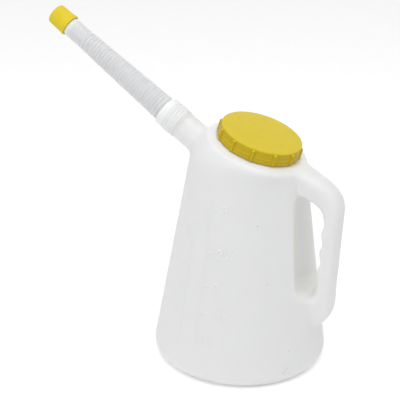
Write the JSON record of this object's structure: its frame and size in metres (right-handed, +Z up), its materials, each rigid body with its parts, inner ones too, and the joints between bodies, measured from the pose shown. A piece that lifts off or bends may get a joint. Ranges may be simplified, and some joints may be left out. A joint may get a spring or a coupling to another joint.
{
  "type": "oil measuring jug",
  "caption": "Translucent tapered oil measuring jug with a hollow handle, tilted screw-lid mouth and a capped corrugated spout.",
  "frame": {"origin": "middle of the underside of the base", "axes": "+Z up, +X towards the handle, the spout leaves towards -X and up, +Y across"},
  "size_m": [0.3191, 0.1746, 0.3333],
  "materials": {
    "jug_plastic": "satin, milky, slightly translucent blown polyethylene",
    "spout_plastic": "satin, milky, slightly translucent soft polyethylene",
    "yellow_plastic": "satin moulded polyethylene with a fine grain",
    "seal_foam": "dull closed-cell foam"
  },
  "bodies": {
    "jug": {"jug_body": "jug_plastic"},
    "lid_seal_ride": {"lid_seal": "seal_foam"},
    "lid_turned": {"lid": "yellow_plastic"},
    "spout_seal_ride": {"spout_seal": "seal_foam"},
    "spout_turned": {"spout": "spout_plastic"},
    "liner_ride": {"cap_liner": "seal_foam"},
    "cap_turned": {"spout_cap": "yellow_plastic"}
  },
  "joints": [
    {"name": "lid_lift", "type": "slide", "parent": "jug", "child": "lid_seal_ride", "axis": [0.2874, 0, 0.9578], "range_m": [0, 0.01001]},
    {"name": "lid_turn", "type": "hinge", "parent": "lid_seal_ride", "child": "lid_turned", "pos_m": [0.0118, 0, 0.2253], "axis": [0.2874, 0, 0.9578], "range_deg": [0, 720]},
    {"name": "spout_draw", "type": "slide", "parent": "jug", "child": "spout_seal_ride", "axis": [-0.8358, 0, 0.549], "range_m": [0, 0.01441]},
    {"name": "spout_turn", "type": "hinge", "parent": "spout_seal_ride", "child": "spout_turned", "pos_m": [-0.071, 0, 0.2313], "axis": [-0.8358, 0, 0.549], "range_deg": [0, 1620]},
    {"name": "cap_draw", "type": "slide", "parent": "spout_turned", "child": "liner_ride", "axis": [-0.8358, 0, 0.549], "range_m": [0, 0.01801]},
    {"name": "cap_turn", "type": "hinge", "parent": "liner_ride", "child": "cap_turned", "pos_m": [-0.071, 0, 0.2313], "axis": [-0.8358, 0, 0.549], "range_deg": [0, 1800]}
  ],
  "couplings": [
    {"joint": "lid_lift", "follows": "lid_turn", "m_per_rad": 0.00079577},
    {"joint": "spout_draw", "follows": "spout_turn", "m_per_rad": 0.0005093},
    {"joint": "cap_draw", "follows": "cap_turn", "m_per_rad": 0.00057296}
  ]
}
